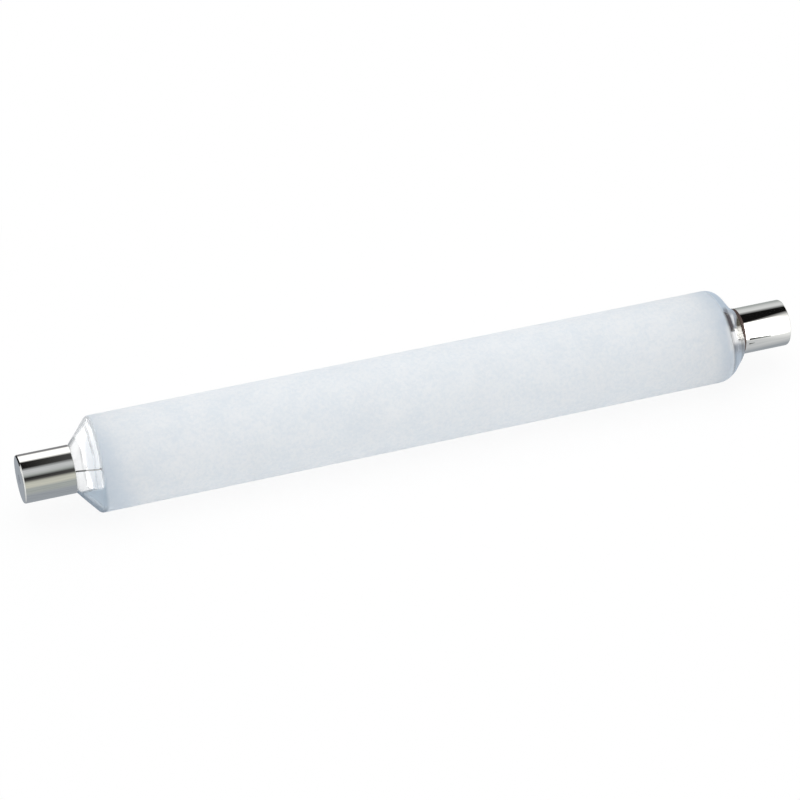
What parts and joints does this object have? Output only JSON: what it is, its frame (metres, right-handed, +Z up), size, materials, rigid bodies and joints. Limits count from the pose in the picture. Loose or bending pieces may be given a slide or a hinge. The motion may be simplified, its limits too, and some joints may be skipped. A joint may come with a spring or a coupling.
{
  "type": "tubular light bulb",
  "caption": "Frosted tubular lamp with a plain cylindrical metal cap at each end, a clear glass cone at the left end and a coiled filament along its axis.",
  "frame": {"origin": "middle of the lamp on its axis, which is the middle of its box", "axes": "+X along the lamp from the left cap to the right cap, +Z up as the lamp lies in the picture"},
  "size_m": [0.311, 0.037, 0.037],
  "materials": {
    "frosted_glass": "matte",
    "stem_glass": "gloss",
    "nickel_plate": "polished",
    "cap_cement": "matte",
    "lead_metal": "satin",
    "tungsten": "satin",
    "support_wire": "satin",
    "solder": "satin"
  },
  "bodies": {
    "root": {"glass_envelope": "frosted_glass", "left_cap": "nickel_plate", "right_cap": "nickel_plate", "left_cement": "cap_cement", "right_cement": "cap_cement", "left_stem": "stem_glass", "right_stem": "stem_glass", "exhaust_tube": "stem_glass", "left_lead_wire": "lead_metal", "right_lead_wire": "lead_metal", "filament": "tungsten", "filament_support_1": "support_wire", "filament_support_2": "support_wire", "filament_support_3": "support_wire", "filament_support_4": "support_wire", "left_solder": "solder", "right_solder": "solder"}
  },
  "joints": []
}
